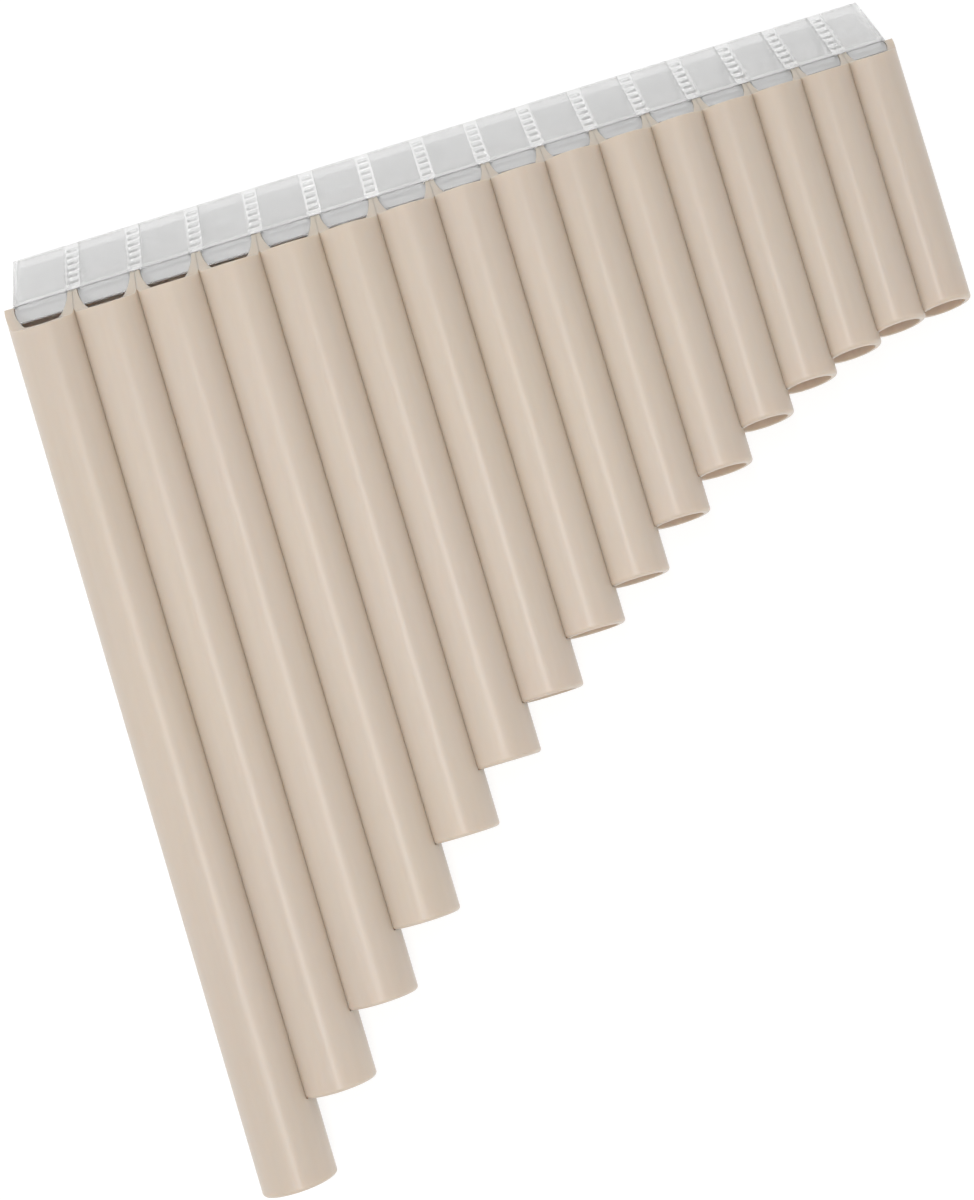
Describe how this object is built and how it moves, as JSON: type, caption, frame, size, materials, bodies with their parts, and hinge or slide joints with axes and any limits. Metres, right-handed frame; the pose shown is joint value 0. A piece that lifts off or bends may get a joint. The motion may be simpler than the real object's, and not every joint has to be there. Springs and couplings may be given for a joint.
{
  "type": "pan flute",
  "caption": "Straight pan flute of moulded plastic pipes in one row, each closed by a sliding tuning stopper, with a clear pull-off fipple mouthpiece along the top.",
  "frame": {"origin": "under the middle of the whole flute, on the plane of the mouthpiece's flat back, with the flute lying on its back", "axes": "+X along the row from the longest pipe to the shortest, +Y up the pipes to the mouthpiece, +Z to the front, where the windows are"},
  "size_m": [0.1764, 0.1888, 0.0206],
  "materials": {
    "pipe_abs": "glossy moulded beige ABS",
    "stopper_rubber": "soft matte moulded silicone rubber",
    "mouthpiece_clear": "clear polished polystyrene"
  },
  "bodies": {
    "pipes": {"pipe_01": "pipe_abs", "pipe_02": "pipe_abs", "pipe_03": "pipe_abs", "pipe_04": "pipe_abs", "pipe_05": "pipe_abs", "pipe_06": "pipe_abs", "pipe_07": "pipe_abs", "pipe_08": "pipe_abs", "pipe_09": "pipe_abs", "pipe_10": "pipe_abs", "pipe_11": "pipe_abs", "pipe_12": "pipe_abs", "pipe_13": "pipe_abs", "pipe_14": "pipe_abs", "pipe_15": "pipe_abs", "pipe_16": "pipe_abs"},
    "mouthpiece": {"mouthpiece": "mouthpiece_clear"},
    "stopper_01": {"stopper_01": "stopper_rubber"},
    "stopper_02": {"stopper_02": "stopper_rubber"},
    "stopper_03": {"stopper_03": "stopper_rubber"},
    "stopper_04": {"stopper_04": "stopper_rubber"},
    "stopper_05": {"stopper_05": "stopper_rubber"},
    "stopper_06": {"stopper_06": "stopper_rubber"},
    "stopper_07": {"stopper_07": "stopper_rubber"},
    "stopper_08": {"stopper_08": "stopper_rubber"},
    "stopper_09": {"stopper_09": "stopper_rubber"},
    "stopper_10": {"stopper_10": "stopper_rubber"},
    "stopper_11": {"stopper_11": "stopper_rubber"},
    "stopper_12": {"stopper_12": "stopper_rubber"},
    "stopper_13": {"stopper_13": "stopper_rubber"},
    "stopper_14": {"stopper_14": "stopper_rubber"},
    "stopper_15": {"stopper_15": "stopper_rubber"},
    "stopper_16": {"stopper_16": "stopper_rubber"}
  },
  "joints": [
    {"name": "mouthpiece_pull_off", "type": "slide", "parent": "pipes", "child": "mouthpiece", "axis": [0, 1, 0], "range_m": [0, 0.02]},
    {"name": "tuning_slide_01", "type": "slide", "parent": "pipes", "child": "stopper_01", "axis": [0, 1, 0], "range_m": [-0.002, 0.004]},
    {"name": "tuning_slide_02", "type": "slide", "parent": "pipes", "child": "stopper_02", "axis": [0, 1, 0], "range_m": [-0.002, 0.004]},
    {"name": "tuning_slide_03", "type": "slide", "parent": "pipes", "child": "stopper_03", "axis": [0, 1, 0], "range_m": [-0.002, 0.004]},
    {"name": "tuning_slide_04", "type": "slide", "parent": "pipes", "child": "stopper_04", "axis": [0, 1, 0], "range_m": [-0.002, 0.004]},
    {"name": "tuning_slide_05", "type": "slide", "parent": "pipes", "child": "stopper_05", "axis": [0, 1, 0], "range_m": [-0.002, 0.004]},
    {"name": "tuning_slide_06", "type": "slide", "parent": "pipes", "child": "stopper_06", "axis": [0, 1, 0], "range_m": [-0.002, 0.004]},
    {"name": "tuning_slide_07", "type": "slide", "parent": "pipes", "child": "stopper_07", "axis": [0, 1, 0], "range_m": [-0.002, 0.004]},
    {"name": "tuning_slide_08", "type": "slide", "parent": "pipes", "child": "stopper_08", "axis": [0, 1, 0], "range_m": [-0.002, 0.004]},
    {"name": "tuning_slide_09", "type": "slide", "parent": "pipes", "child": "stopper_09", "axis": [0, 1, 0], "range_m": [-0.002, 0.004]},
    {"name": "tuning_slide_10", "type": "slide", "parent": "pipes", "child": "stopper_10", "axis": [0, 1, 0], "range_m": [-0.002, 0.004]},
    {"name": "tuning_slide_11", "type": "slide", "parent": "pipes", "child": "stopper_11", "axis": [0, 1, 0], "range_m": [-0.002, 0.004]},
    {"name": "tuning_slide_12", "type": "slide", "parent": "pipes", "child": "stopper_12", "axis": [0, 1, 0], "range_m": [-0.002, 0.004]},
    {"name": "tuning_slide_13", "type": "slide", "parent": "pipes", "child": "stopper_13", "axis": [0, 1, 0], "range_m": [-0.002, 0.004]},
    {"name": "tuning_slide_14", "type": "slide", "parent": "pipes", "child": "stopper_14", "axis": [0, 1, 0], "range_m": [-0.002, 0.004]},
    {"name": "tuning_slide_15", "type": "slide", "parent": "pipes", "child": "stopper_15", "axis": [0, 1, 0], "range_m": [-0.002, 0.004]},
    {"name": "tuning_slide_16", "type": "slide", "parent": "pipes", "child": "stopper_16", "axis": [0, 1, 0], "range_m": [-0.002, 0.004]}
  ]
}
